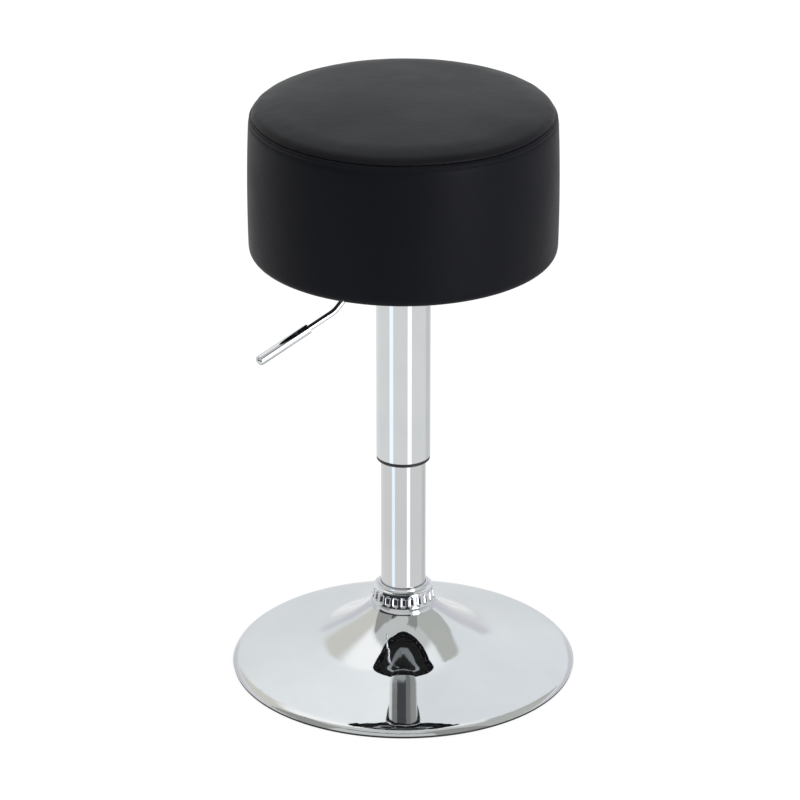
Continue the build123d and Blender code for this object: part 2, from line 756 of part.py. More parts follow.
with BuildPart() as tee_nuts:
    with BuildSketch(Plane.XY.offset(board_top - TEE_NUT_L)):
        with GridLocations(BOLT_SPACING, BOLT_SPACING, 2, 2):
            Circle(tee_barrel_r)
    extrude(amount=TEE_NUT_L)
    with BuildSketch(Plane.XY.offset(tee_flange_z)):
        with GridLocations(BOLT_SPACING, BOLT_SPACING, 2, 2):
            Circle(tee_flange_r)
    extrude(amount=TEE_FLANGE_T)
    with BuildSketch(Plane.XY.offset(board_top - TEE_NUT_L)):
        with GridLocations(BOLT_SPACING, BOLT_SPACING, 2, 2):
            Circle(BOLT_R + SNUG)
    extrude(amount=TEE_NUT_L, mode=Mode.SUBTRACT)
save(tee_nuts.part, "tee_nuts")

# Seat board, rounded below where the skin turns under it
board_r = SEAT_R - SKIN_T - EASY
with BuildPart() as seat_board:
    with BuildSketch(Plane.XY.offset(board_z)):
        Circle(board_r)
    extrude(amount=BOARD_T)
    fillet(seat_board.edges().sort_by(Axis.Z)[0], SEAT_CORNER_R - SKIN_T + EASY)
    with BuildSketch(Plane.XY.offset(board_z)):
        with GridLocations(BOLT_SPACING, BOLT_SPACING, 2, 2):
            Circle(tee_barrel_r + SNUG)
    extrude(amount=BOARD_T, mode=Mode.SUBTRACT)
    with BuildSketch(Plane.XY.offset(tee_flange_z)):
        with GridLocations(BOLT_SPACING, BOLT_SPACING, 2, 2):
            Circle(tee_flange_r + SNUG)
    extrude(amount=TEE_FLANGE_T, mode=Mode.SUBTRACT)
save(seat_board.part, "seat_board")

# Side band of the cover: hemmed under the board, bellied, and folded in at the seam
stitch_z = seam_z - STITCH_DROP
corner_top = SEAT_Z + SEAT_CORNER_R
belly_z = (corner_top + stitch_z) / 2
corner_lean = cos(radians(45.0))


def corner_middle(radius):
    """The middle of the rounded lower corner, for an arc of this radius about the same centre."""
    return (corner_in_r + radius * corner_lean, corner_top - radius * corner_lean)


inner_corner_r = SEAT_CORNER_R - SKIN_T
seam_edge = (seam_r, seam_z)
seam_inner_edge = (seam_r - SKIN_T, seam_z - SKIN_T)
with BuildPart() as seat_cover_band:
    with BuildSketch(Plane.XZ):
        with BuildLine():
            Line((hem_r, SEAT_Z), (corner_in_r, SEAT_Z))
            ThreePointArc((corner_in_r, SEAT_Z), corner_middle(SEAT_CORNER_R), (SEAT_R, corner_top))
            ThreePointArc((SEAT_R, corner_top), (belly_r, belly_z), (stitch_r, stitch_z))
            ThreePointArc((stitch_r, stitch_z), (fold_r, seam_z - FOLD_DROP), seam_edge)
            Polyline(seam_edge, seam_inner_edge, (stitch_r - SKIN_T, stitch_z))
            ThreePointArc(
                (stitch_r - SKIN_T, stitch_z),
                (belly_r - SKIN_T, belly_z),
                (SEAT_R - SKIN_T, corner_top),
            )
            ThreePointArc(
                (SEAT_R - SKIN_T, corner_top), corner_middle(inner_corner_r), (corner_in_r, board_z)
            )
            Polyline((corner_in_r, board_z), (hem_r, board_z), (hem_r, SEAT_Z))
        make_face()
    revolve(axis=Axis.Z)
save(seat_cover_band.part, "seat_cover_band")

# Crowned top panel of the cover
crown_stations = [
    (0.0, 0.0),
    (seam_r - SHOULDER_W - CROWN_EDGE_W, CROWN_SLOPE),
    (seam_r - SHOULDER_W, SHOULDER_SLOPE),
    (seam_r, CROWN_EDGE_SLOPE),
]
crown_edge_z = seam_z + SEAM_GAP
crown_outside = arc_chain(crown_stations, crown_edge_z)
crown_inside = arc_chain(crown_stations, crown_edge_z, SKIN_T)
with BuildPart() as seat_cover_top:
    with BuildSketch(Plane.XZ):
        with BuildLine():
            for face in (crown_outside, crown_inside):
                for points in face:
                    ThreePointArc(*points)
            Line(crown_outside[-1][2], crown_inside[-1][2])
            Line(crown_outside[0][0], crown_inside[0][0])
        make_face()
    revolve(axis=Axis.Z)
save(seat_cover_top.part, "seat_cover_top")

# Foam block between the board and the cover
foam_gap = SKIN_T + EASY
foam_crown = arc_chain(crown_stations, crown_edge_z, foam_gap)[:2]
foam_z = board_top + EASY
foam_wall_top = (stitch_r - foam_gap, stitch_z - FOAM_SHOULDER_DROP)
with BuildPart() as seat_foam:
    with BuildSketch(Plane.XZ):
        with BuildLine():
            for points in foam_crown:
                ThreePointArc(*points)
            Line(foam_crown[-1][2], foam_wall_top)
            ThreePointArc(
                foam_wall_top, (belly_r - foam_gap, belly_z), (SEAT_R - foam_gap, foam_z)
            )
            Polyline((SEAT_R - foam_gap, foam_z), (0.0, foam_z), foam_crown[0][0])
        make_face()
    revolve(axis=Axis.Z)
save(seat_foam.part, "seat_foam")

# Dust cover inside the hem
with BuildPart() as dust_cover:
    with BuildSketch(Plane.XY.offset(SEAT_Z)):
        Circle(hem_r - EASY)
        with GridLocations(BOLT_SPACING, BOLT_SPACING, 2, 2):
            Circle(bolt_hole_r, mode=Mode.SUBTRACT)
    extrude(amount=SKIN_T)
save(dust_cover.part, "dust_cover")

# Staples through the hem into the board
staple_leg_y = (STAPLE_W - STAPLE_WIRE) / 2
with BuildPart() as hem_staples:
    with BuildSketch(Plane.XY.offset(SEAT_Z - STAPLE_WIRE)):
        with PolarLocations(hem_r + STAPLE_IN, STAPLES):
            Rectangle(STAPLE_WIRE, STAPLE_W)
    extrude(amount=STAPLE_WIRE)
    with BuildSketch(Plane.XY.offset(SEAT_Z)):
        with PolarLocations(hem_r + STAPLE_IN, STAPLES):
            with Locations((0, staple_leg_y), (0, -staple_leg_y)):
                Rectangle(STAPLE_WIRE, STAPLE_WIRE)
    extrude(amount=STAPLE_LEG)
save(hem_staples.part, "hem_staples")
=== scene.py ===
import json
import math

import bmesh
import bpy
from mathutils import Euler, Matrix, Vector, kdtree, noise


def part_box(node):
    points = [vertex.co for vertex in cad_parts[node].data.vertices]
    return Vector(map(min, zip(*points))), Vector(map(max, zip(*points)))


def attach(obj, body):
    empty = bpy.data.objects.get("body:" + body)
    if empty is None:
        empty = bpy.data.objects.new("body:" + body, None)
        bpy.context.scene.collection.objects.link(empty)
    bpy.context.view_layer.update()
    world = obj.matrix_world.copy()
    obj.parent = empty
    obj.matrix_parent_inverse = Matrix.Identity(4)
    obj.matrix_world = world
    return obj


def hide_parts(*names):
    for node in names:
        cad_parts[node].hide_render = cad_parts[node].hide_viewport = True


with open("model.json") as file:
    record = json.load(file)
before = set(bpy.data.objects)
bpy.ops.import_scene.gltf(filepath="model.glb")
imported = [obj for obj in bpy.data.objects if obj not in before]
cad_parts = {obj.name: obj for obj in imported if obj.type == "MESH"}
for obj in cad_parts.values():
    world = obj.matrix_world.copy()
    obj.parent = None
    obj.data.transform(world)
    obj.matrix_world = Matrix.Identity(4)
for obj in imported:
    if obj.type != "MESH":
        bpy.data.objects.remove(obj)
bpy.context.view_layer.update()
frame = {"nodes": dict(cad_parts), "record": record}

MM = 0.001
scene = bpy.context.scene
scene.view_settings.view_transform = "Standard"

# The photograph's view
VIEW_AZIMUTH = -30.0       # degrees round the stool
VIEW_PITCH = 23.76         # degrees below the horizon
VIEW_YAW = 0.047           # degrees, because the column stands just right of the middle
CAMERA_DISTANCE = 4.440    # metres from the column, along the floor
CAMERA_HEIGHT = 2.274      # metres
CAMERA_LENS = 198.0        # millimetres
CAMERA_SENSOR = 36.0       # millimetres

# Places of the seat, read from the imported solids, in millimetres
band_low, band_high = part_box("seat_cover_band")
top_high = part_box("seat_cover_top")[1]
board_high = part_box("seat_board")[1]
lining_low, lining_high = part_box("dust_cover")
UNDERSIDE_Z = band_low.z / MM
SEAM_Z = band_high.z / MM
CROWN_Z = top_high.z / MM
BOARD_TOP_Z = board_high.z / MM
BELLY_R = band_high.x / MM
SEAM_R = top_high.x / MM
LINING_R = lining_high.x / MM
LINING_Z = (lining_low.z + lining_high.z) / 2 / MM

# Sizes of the seat cover, in millimetres and degrees
WALL_R = BELLY_R - 1.2     # the wall without its swell
CORNER_R = 9.0
CORNER_TURN = 18.0         # degrees between rows round the lower corner
HEM_W = 29.0
HEM_GATHER = 0.5           # how far the hem hangs between its staples
HEM_STAPLES = 28
COVER_T = 1.2
CROWN_SLOPES = [(0.0, 0.0), (131.0, 4.3), (156.0, 18.0), (SEAM_R, 67.0)]
TUCK = 3.0                 # how far both panels turn in at the seam
# The top panel's rolled edge: outwards and upwards from the seam
TOP_FOLD = [(-0.1, 0.75), (-0.7, 0.25), (-TUCK, 0.1)]
# The band's folded edge, its puffed roll and the stitched groove: outwards and downwards from the seam
BAND_FOLD = [
    (-TUCK, 0.1), (-0.5, 0.3), (0.6, 1.2), (1.9, 2.7), (2.6, 4.4), (1.2, 5.6), (2.6, 6.8), (3.1, 9.0),
]
STITCH_OUT, STITCH_DROP = BAND_FOLD[5]
STITCHES = 190
STITCH_LENGTH = 3.7
THREAD_D = 0.9
THREAD_SIDES, THREAD_RINGS = 6, 4
FOAM_INSET = 2.6           # the foam inside its cover
FOAM_LIFT = 0.2            # the foam above the board
ROW = 9.0                  # longest step between rows of the cover
EDGE_ROW = 3.0             # and near the crown's edge
COVER_SEGMENTS = 240
FOAM_SEGMENTS = 96
MERGE = 0.01               # points closer than this are one

# Unevenness of the sewn cover, in millimetres and degrees
RIPPLE = 0.35              # puckers along the seam
RIPPLE_LENGTH = 17.0
RIPPLE_REACH = 13.0
WAVE = 0.9                 # slow wave of the crown's edge
WAVE_LENGTH = 95.0
WAVE_REACH = 55.0
DIP = 1.6                  # the crown's edge is lower on one side
DIP_AZIMUTH = 105.0
DIP_SPREAD = 42.0

# Cloth
CLOTH_VOXEL = 5.0
CLOTH_PRESSURE = 4.0
CLOTH_FRAMES = 20
CLOTH_CAP = 5.0
CLOTH_SHARE = 0.35         # how much of the cloth's unevenness the taut cover shows
CROWN_SLACK = 3.0          # the crown starts this much lower
WALL_SLACK = 1.5           # and the wall this much further in
SEAM_HOLD = 5.0            # width of the strip that the seam holds
NEIGHBOURS = 16            # cloth points that a point of the cover follows
NEAREST = 0.5              # added to their distances, so that none counts for everything

# Lining
BOLT_HOLE_R = 3.3
BOLT_HOLES = 50.0          # from the column's axis, both ways
LINING_SAG = 0.4
LINING_SAG_LENGTH = 45.0
LINING_T = 0.3
LINING_INSET = 0.3         # the sheet inside the outline of its solid
LINING_SEGMENTS = 120
BOLT_HOLE_SEGMENTS = 24
LINING_EDGE = 14.0         # edges longer than this are cut
LINING_CUTS = 3            # as often as this

# Patterns of the leather, in millimetres: width of a pebble, a crease and a patch, and depth of the first two
PEBBLE, CREASE, PATCH = 2.4, 38.0, 90.0
PEBBLE_DEPTH, CREASE_DEPTH = 0.10, 0.35

# Painted shade darkens the low ground between the cells of foam and lining; it fades and darkens in clouds
# this many cells wide
CELL_CLOUD = 20

# Black paint over the weld in the middle of the mount plate
WELD_PAINT_R = 67.0
WELD_PAINT_FADE = 4.0      # width of the paint's edge
WELD_PAINT_RAGGED = 6.0    # how far that edge wanders

# Veneer of the seat board; the Wave texture turns through 20 radians in a metre at a scale of one
PLY = 1.5

# Numbers of the Mix node's sockets for colours
MIX_A, MIX_B, MIXED = 6, 7, 2


def srgb(code):
    """A colour written as an sRGB hex value, as linear red, green, blue and alpha."""
    shares = [int(code[i:i + 2], 16) / 255 for i in (1, 3, 5)]
    return [s / 12.92 if s <= 0.04045 else ((s + 0.055) / 1.055) ** 2.4 for s in shares] + [1.0]


def per_metre(size_mm):
    """A texture scale on Object coordinates that repeats about once in this many millimetres."""
    return 1000.0 / size_mm


def add_node(tree, kind, inputs=None, **settings):
    """Add a node with its settings; inputs holds values, or the sockets that feed them."""
    made = tree.nodes.new(kind)
    for name, value in settings.items():
        setattr(made, name, value)
    for socket, value in (inputs or {}).items():
        if isinstance(value, bpy.types.NodeSocket):
            tree.links.new(value, made.inputs[socket])
        else:
            made.inputs[socket].default_value = value
    return made


def new_finish(name, **sockets):
    """A material with uniform values on its shader; returns it, its tree, its shader and its coordinates."""
    finish = bpy.data.materials.new(name)
    finish.use_nodes = True
    tree = finish.node_tree
    shader = tree.nodes["Principled BSDF"]
    for socket, value in sockets.items():
        shader.inputs[socket.replace("_", " ")].default_value = value
    place = add_node(tree, "ShaderNodeTexCoord").outputs["Object"]
    return finish, tree, shader, place


def mottled_finish(name, dark, light, roughness, grain, height, stretch=(1, 1, 1), **sockets):
    """A surface whose colour, gloss and relief all wander a little, over grains of this many millimetres."""
    finish, tree, shader, place = new_finish(name, **sockets)
    spread = add_node(tree, "ShaderNodeMapping", {"Vector": place, "Scale": stretch})
    grains = add_node(tree, "ShaderNodeTexNoise", {
        "Vector": spread.outputs[0], "Scale": per_metre(grain), "Detail": 4.0, "Roughness": 0.6,
    })
    level = add_node(tree, "ShaderNodeMapRange", {
        "Value": grains.outputs["Fac"], "From Min": 0.3, "From Max": 0.7,
    })
    tone = add_node(tree, "ShaderNodeMix", {
        "Factor": level.outputs[0], MIX_A: srgb(dark), MIX_B: srgb(light),
    }, data_type="RGBA")
    gloss = add_node(tree, "ShaderNodeMapRange", {
        "Value": grains.outputs["Fac"], "From Min": 0.3, "From Max": 0.7,
        "To Min": roughness[0], "To Max": roughness[1],
    })
    relief = add_node(tree, "ShaderNodeBump", {
        "Height": grains.outputs["Fac"], "Distance": height * MM, "Strength": 1.0,
    })
    tree.links.new(tone.outputs[MIXED], shader.inputs["Base Color"])
    tree.links.new(gloss.outputs[0], shader.inputs["Roughness"])
    tree.links.new(relief.outputs[0], shader.inputs["Normal"])
    return finish


def faux_leather(name, specular, tint, smoothest, roughest):
    """PVC on a knitted back: nearly black, satin, with an embossed pebble grain and faint stretch creases.
    The real grain is about 1 mm; it is drawn at 2.4 mm so that it shows in the render."""
    finish, tree, shader, place = new_finish(name, Specular_IOR_Level=specular, Specular_Tint=srgb(tint))
    pebbles = add_node(tree, "ShaderNodeTexVoronoi", {
        "Vector": place, "Scale": per_metre(PEBBLE), "Smoothness": 0.6, "Randomness": 1.0,
    }, feature="SMOOTH_F1")
    creases = add_node(tree, "ShaderNodeTexNoise", {
        "Vector": place, "Scale": per_metre(CREASE), "Detail": 5.0, "Roughness": 0.55, "Distortion": 0.8,
    })
    patches = add_node(tree, "ShaderNodeTexNoise", {
        "Vector": place, "Scale": per_metre(PATCH), "Detail": 3.0,
    })
    tone = add_node(tree, "ShaderNodeMix", {
        "Factor": patches.outputs["Fac"], MIX_A: srgb("#0D0E13"), MIX_B: srgb("#121319"),
    }, data_type="RGBA")
    gloss = add_node(tree, "ShaderNodeMapRange", {
        "Value": patches.outputs["Fac"], "From Min": 0.3, "From Max": 0.7,
        "To Min": smoothest, "To Max": roughest,
    })
    grain = add_node(tree, "ShaderNodeBump", {
        "Height": pebbles.outputs["Distance"], "Distance": PEBBLE_DEPTH * MM, "Strength": 1.0,
    })
    creased = add_node(tree, "ShaderNodeBump", {
        "Height": creases.outputs["Fac"], "Distance": CREASE_DEPTH * MM, "Strength": 1.0,
        "Normal": grain.outputs[0],
    })
    tree.links.new(tone.outputs[MIXED], shader.inputs["Base Color"])
    tree.links.new(gloss.outputs[0], shader.inputs["Roughness"])
    tree.links.new(creased.outputs[0], shader.inputs["Normal"])
    return finish


def birch_plywood():
    """Birch veneers glued flat, 1.5 mm each: pale and darker edges in turn, with long grain on the faces."""
    finish, tree, shader, place = new_finish("plywood_birch", Roughness=0.75)
    long_grain = add_node(tree, "ShaderNodeMapping", {"Vector": place, "Scale": (1.0, 12.0, 1.0)})
    grain = add_node(tree, "ShaderNodeTexNoise", {
        "Vector": long_grain.outputs[0], "Scale": per_metre(60.0), "Detail": 6.0, "Roughness": 0.6,
    })
    plies = add_node(tree, "ShaderNodeTexWave", {
        "Vector": place, "Scale": per_metre(2 * PLY) * math.pi / 10, "Distortion": 0.4,
        "Detail": 2.0, "Detail Scale": 1.5,
    }, wave_type="BANDS", bands_direction="Z")
    veneer = add_node(tree, "ShaderNodeMix", {
        "Factor": plies.outputs["Fac"], MIX_A: srgb("#9C7A4E"), MIX_B: srgb("#C9A878"),
    }, data_type="RGBA")
    streaks = add_node(tree, "ShaderNodeMix", {
        "Factor": grain.outputs["Fac"], MIX_A: veneer.outputs[MIXED], MIX_B: srgb("#B8935F"),
    }, data_type="RGBA")
    relief = add_node(tree, "ShaderNodeBump", {
        "Height": grain.outputs["Fac"], "Distance": 0.15 * MM, "Strength": 1.0,
    })
    tree.links.new(streaks.outputs[MIXED], shader.inputs["Base Color"])
    tree.links.new(relief.outputs[0], shader.inputs["Normal"])
    return finish


def cell_finish(name, dark, light, roughness, cell, height, **sockets):
    """A matt surface of small round cells or bonds of this many millimetres, with painted shade dark between
    them, where the relief is low.
    """
    finish, tree, shader, place = new_finish(name, Roughness=roughness, **sockets)
    cells = add_node(tree, "ShaderNodeTexVoronoi", {
        "Vector": place, "Scale": per_metre(cell), "Randomness": 0.8,
    })
    drift = add_node(tree, "ShaderNodeTexNoise", {
        "Vector": place, "Scale": per_metre(cell * CELL_CLOUD), "Detail": 3.0,
    })
    # Painted shade: darker towards each cell's edge, where the relief is low, more strongly in clouds
    depth = add_node(tree, "ShaderNodeMath", {
        0: cells.outputs["Distance"], 1: drift.outputs["Fac"],
    }, operation="MULTIPLY")
    tone = add_node(tree, "ShaderNodeMix", {
        "Factor": depth.outputs[0], MIX_A: srgb(light), MIX_B: srgb(dark),
    }, data_type="RGBA")
    relief = add_node(tree, "ShaderNodeBump", {
        "Height": cells.outputs["Distance"], "Distance": height * MM, "Strength": 1.0,
    })
    relief.invert = True
    tree.links.new(tone.outputs[MIXED], shader.inputs["Base Color"])
    tree.links.new(relief.outputs[0], shader.inputs["Normal"])
    return finish


def weld_touched_zinc():
    """Bright zinc plate, cool grey and a little cloudy, brushed over with black paint round the weld."""
    finish, tree, shader, place = new_finish("zinc_plate_touched_up")
    clouds = add_node(tree, "ShaderNodeTexNoise", {
        "Vector": place, "Scale": per_metre(9.0), "Detail": 4.0, "Roughness": 0.6,
    })
    level_place = add_node(tree, "ShaderNodeVectorMath", {
        0: place, 1: (1.0, 1.0, 0.0),
    }, operation="MULTIPLY")
    from_axis = add_node(tree, "ShaderNodeVectorMath", {0: level_place.outputs[0]}, operation="LENGTH")
    ragged = add_node(tree, "ShaderNodeMath", {
        0: clouds.outputs["Fac"], 1: WELD_PAINT_RAGGED * MM, 2: from_axis.outputs["Value"],
    }, operation="MULTIPLY_ADD")
    bare = add_node(tree, "ShaderNodeMapRange", {
        "Value": ragged.outputs[0], "From Min": WELD_PAINT_R * MM,
        "From Max": (WELD_PAINT_R + WELD_PAINT_FADE) * MM,
    })
    zinc = add_node(tree, "ShaderNodeMix", {
        "Factor": clouds.outputs["Fac"], MIX_A: srgb("#B4B8BB"), MIX_B: srgb("#C9CDD0"),
    }, data_type="RGBA")
    tone = add_node(tree, "ShaderNodeMix", {
        "Factor": bare.outputs[0], MIX_A: srgb("#0B0B0C"), MIX_B: zinc.outputs[MIXED],
    }, data_type="RGBA")
    gloss = add_node(tree, "ShaderNodeMapRange", {"Value": bare.outputs[0], "To Min": 0.45, "To Max": 0.28})
    relief = add_node(tree, "ShaderNodeBump", {
        "Height": clouds.outputs["Fac"], "Distance": 0.01 * MM, "Strength": 1.0,
    })
    tree.links.new(tone.outputs[MIXED], shader.inputs["Base Color"])
    tree.links.new(bare.outputs[0], shader.inputs["Metallic"])
    tree.links.new(gloss.outputs[0], shader.inputs["Roughness"])
    tree.links.new(relief.outputs[0], shader.inputs["Normal"])
    return finish


# Chrome plate on the pressed base, the upper tube and the lever: a clear, cool mirror, very slightly wavy
chrome_pressed = mottled_finish(
    "chrome_pressed", "#C9CCCE", "#CFD1D3", (0.02, 0.05), 70.0, 0.02, Metallic=1.0,
)
# Chrome plate on the lower tube: a clear mirror, a shade duller than on the pressed base; its darker, warmer
# colour is painted shade, standing in for the shaded floor near the stool that it mirrors
chrome_tube_painted_shade = mottled_finish(
    "chrome_drawn_tube_painted_shade", "#C4C6C7", "#C9CACB", (0.03, 0.05), 120.0, 0.004, Metallic=1.0,
)
# Chrome plate on a zinc casting: bright, its polish a little softer in patches
chrome_cast = mottled_finish(
    "chrome_cast", "#C4C7CA", "#D0D2D4", (0.03, 0.08), 14.0, 0.015, Metallic=1.0,
)
# Glass-filled nylon, moulded: black, with the fine dull skin of a spark-eroded mould
black_nylon = mottled_finish("nylon_moulded_black", "#0B0B0C", "#141415", (0.38, 0.52), 1.6, 0.02)
# Soft PVC extrusion: black and dull, with a faint bloom
edging_pvc = mottled_finish("pvc_edging_black", "#0A0A0A", "#151515", (0.50, 0.65), 6.0, 0.03)
# Nitrile rubber, moulded: dull dark grey
nitrile = mottled_finish("nitrile_rubber", "#111111", "#1C1C1B", (0.60, 0.75), 3.0, 0.02)
# Natural nylon, moulded: milky, with a waxy shine
natural_nylon = mottled_finish("nylon_natural", "#CDC7B2", "#DBD6C6", (0.40, 0.50), 5.0, 0.02)
# Steel, welded and painted satin black: orange peel about 2 mm wide
weld_paint = mottled_finish("steel_painted_black", "#0E0E0F", "#1A1A1B", (0.32, 0.48), 2.2, 0.05)
# Ground steel: fine lines round the turned faces
ground_steel = mottled_finish(
    "steel_ground", "#8F9193", "#A6A8AA", (0.20, 0.34), 2.0, 0.004, (1, 1, 8), Metallic=1.0,
)
# Bright zinc plate: cool grey, a little cloudy
bright_zinc = mottled_finish(
    "zinc_plate_bright", "#A7ABAE", "#BDC1C4", (0.22, 0.38), 9.0, 0.01, Metallic=1.0,
)
# Stoved lacquer on the gas cylinder: black and glossy
black_lacquer = mottled_finish("lacquer_black", "#060607", "#0C0C0D", (0.12, 0.20), 4.0, 0.01)
# Aluminium, turned: pale, with the lathe's rings
turned_alloy = mottled_finish(
    "aluminium_turned", "#B4B6B8", "#C6C7C9", (0.20, 0.32), 1.5, 0.006, (1, 1, 6), Metallic=1.0,
)
# Cut polyurethane foam: cream, matt, open cells about 1 mm wide drawn at 1.8 mm, with painted shade between
# them
cut_foam = cell_finish("foam_cut", "#A89A6A", "#D9CFA9", 0.95, 1.8, 0.5)
# Spunbond polypropylene: black and matt, bonded in dots about 1.6 mm apart, with painted shade between them
spunbond = cell_finish("spunbond_black", "#060607", "#19191A", 0.85, 1.6, 0.12)
# Bonded polyester thread: black and nearly matt
black_thread = mottled_finish(
    "thread_polyester_black", "#070709", "#121214", (0.50, 0.65), 0.6, 0.05, Specular_IOR_Level=0.1,
)
# The same leather twice, as lit and shaded copies: the top's copy has a painted sheen, stronger and a little
# warmer than the side's duller copy
top_leather_painted_sheen = faux_leather("faux_leather_top_painted_sheen", 0.13, "#FFFCF6", 0.40, 0.48)
side_leather_duller_copy = faux_leather("faux_leather_side_duller_copy", 0.085, "#FFFFFF", 0.40, 0.50)
plywood = birch_plywood()
plate_zinc = weld_touched_zinc()

slot_finishes = {
    "chrome": chrome_pressed,
    "black_plastic": black_nylon,
    "edging_rubber": edging_pvc,
    "seal_rubber": nitrile,
    "cage_plastic": natural_nylon,
    "welded_steel": weld_paint,
    "plain_steel": ground_steel,
    "zinc_steel": bright_zinc,
    "cylinder_paint": black_lacquer,
    "valve_alloy": turned_alloy,
    "plywood": plywood,
    "foam": cut_foam,
    "faux_leather": side_leather_duller_copy,
    "lining": spunbond,
}
# The lower tube's chrome carries painted shade in its colour
node_finishes = {"stand_tube": chrome_tube_painted_shade, "collar": chrome_cast, "seat_plate": plate_zinc}


def finish_solids():
    """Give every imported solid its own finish, or that of its slot."""
    for row in frame["record"]["subparts"]:
        finish = node_finishes.get(row["node"], slot_finishes[row["material_slot"]])
        for slot in frame["nodes"][row["node"]].material_slots:
            slot.material = finish


finish_solids()


def steps(start, end, longest):
    """Evenly spaced values from start towards end, no further apart than this, without the end."""
    count = math.ceil(abs(end - start) / longest)
    return [start + (end - start) * index / count for index in range(count)]


def crown_outline(slack):
    """The crown from its middle to the seam, as (radius, height) points on tangent arcs; slack lowers it."""
    points = []
    height = CROWN_Z
    for (radius_a, slope_a), (radius_b, slope_b) in zip(CROWN_SLOPES, CROWN_SLOPES[1:]):
        sine_a = math.sin(math.radians(slope_a))
        sine_b = math.sin(math.radians(slope_b))
        bend = (radius_b - radius_a) / (sine_b - sine_a)
        for radius in steps(radius_a, radius_b, ROW if radius_a == 0 else EDGE_ROW):
            sine = sine_a + (radius - radius_a) / bend
            drop = bend * (math.sqrt(1 - sine_a ** 2) - math.sqrt(1 - sine ** 2))
            points.append((radius, height - drop))
        height -= bend * (math.sqrt(1 - sine_a ** 2) - math.sqrt(1 - sine_b ** 2))
    return [(radius, level - slack * (1 - (radius / SEAM_R) ** 2)) for radius, level in points]


def wall_outline(slack):
    """The wall from under the stitched fold to the start of its lower corner; slack draws it in."""
    out, down = BAND_FOLD[-1]
    start_r = SEAM_R + out
    start_z = SEAM_Z - down
    end_z = UNDERSIDE_Z + CORNER_R
    points = []
    for level in steps(start_z, end_z, ROW):
        along = (start_z - level) / (start_z - end_z)
        swell = 4 * along * (1 - along)
        straight = start_r + (WALL_R - start_r) * along
        points.append((straight + (BELLY_R - WALL_R - slack) * swell, level))
    return points


def corner_outline():
    """The lower corner and the hem, as far as the lining."""
    middle_r = WALL_R - CORNER_R
    middle_z = UNDERSIDE_Z + CORNER_R
    points = []
    for turn in steps(0.0, 90.0, CORNER_TURN):
        points.append((
            middle_r + CORNER_R * math.cos(math.radians(turn)),
            middle_z - CORNER_R * math.sin(math.radians(turn)),
        ))
    return points + [(radius, UNDERSIDE_Z) for radius in steps(middle_r, middle_r - HEM_W, ROW)] + [
        (middle_r - HEM_W, UNDERSIDE_Z),
    ]


def spun(outline, segments):
    """A skin of revolution: an outline of a few vertices, spun round the column's axis."""
    bm = bmesh.new()
    points = [bm.verts.new((radius * MM, 0.0, level * MM)) for radius, level in outline]
    lines = [bm.edges.new(pair) for pair in zip(points, points[1:])]
    bmesh.ops.spin(
        bm, geom=points + lines, cent=(0, 0, 0), axis=(0, 0, 1),
        angle=math.tau, steps=segments, use_merge=True,
    )
    bmesh.ops.remove_doubles(bm, verts=bm.verts, dist=MERGE * MM)
    bmesh.ops.recalc_face_normals(bm, faces=bm.faces)
    return bm


def add_object(name, bm):
    """Put a finished bmesh into the scene as a smooth object."""
    for face in bm.faces:
        face.smooth = True
    mesh = bpy.data.meshes.new(name)
    bm.to_mesh(mesh)
    bm.free()
    made = bpy.data.objects.new(name, mesh)
    scene.collection.objects.link(made)
    return made


def evaluated_mesh(made):
    """A copy of an object's mesh with its modifiers applied."""
    return bpy.data.meshes.new_from_object(made.evaluated_get(bpy.context.evaluated_depsgraph_get()))


def held(point):
    """True where the seam, the board or the underside holds the cover."""
    radius = math.hypot(point.x, point.y) / MM
    level = point.z / MM
    at_seam = abs(radius - SEAM_R) < SEAM_HOLD and abs(level - SEAM_Z) < SEAM_HOLD
    return at_seam or level < BOARD_TOP_Z


def simulate_swell():
    """Blow the drum up as cloth and return where its points were and how far each one moved."""
    outline = crown_outline(CROWN_SLACK) + wall_outline(WALL_SLACK) + corner_outline() + [(0.0, UNDERSIDE_Z)]
    drum = add_object("drum", spun(outline, COVER_SEGMENTS))
    remesh = drum.modifiers.new("remesh", "REMESH")
    remesh.mode = "VOXEL"
    remesh.voxel_size = CLOTH_VOXEL * MM
    drum.data = evaluated_mesh(drum)
    drum.modifiers.clear()
    before = [vert.co.copy() for vert in drum.data.vertices]
    pins = drum.vertex_groups.new(name="held")
    pins.add([index for index, point in enumerate(before) if held(point)], 1.0, "REPLACE")
    cloth = drum.modifiers.new("cloth", "CLOTH").settings
    cloth.vertex_group_mass = pins.name
    cloth.use_pressure = True
    cloth.uniform_pressure_force = CLOTH_PRESSURE
    cloth.effector_weights.gravity = 0.0
    for moment in range(1, CLOTH_FRAMES + 1):
        scene.frame_set(moment)
    swollen = evaluated_mesh(drum)
    moves = []
    for vert, start in zip(swollen.vertices, before):
        move = vert.co - start
        move.length = min(move.length, CLOTH_CAP * MM)
        moves.append(move)
    scene.frame_set(1)
    bpy.data.objects.remove(drum)
    return before, moves


def uneven_swell(before, moves):
    """What the cloth does beyond an even swell, indexed by place: each move less the mean of its ring."""
    rings = {}
    for index, point in enumerate(before):
        ring = (round(point.xy.length / MM / ROW), round(point.z / MM / ROW))
        rings.setdefault(ring, []).append(index)
    uneven = [Vector()] * len(before)
    places = kdtree.KDTree(len(before))
    for members in rings.values():
        outward = [before[index].xy.normalized().to_3d() for index in members]
        swell = sum(moves[index].dot(out) for index, out in zip(members, outward)) / len(members)
        rise = sum(moves[index].z for index in members) / len(members)
        for index, out in zip(members, outward):
            uneven[index] = moves[index] - out * swell - Vector((0.0, 0.0, rise))
            places.insert(before[index], index)
    places.balance()
    return places, uneven


cloth_places, cloth_moves = uneven_swell(*simulate_swell())


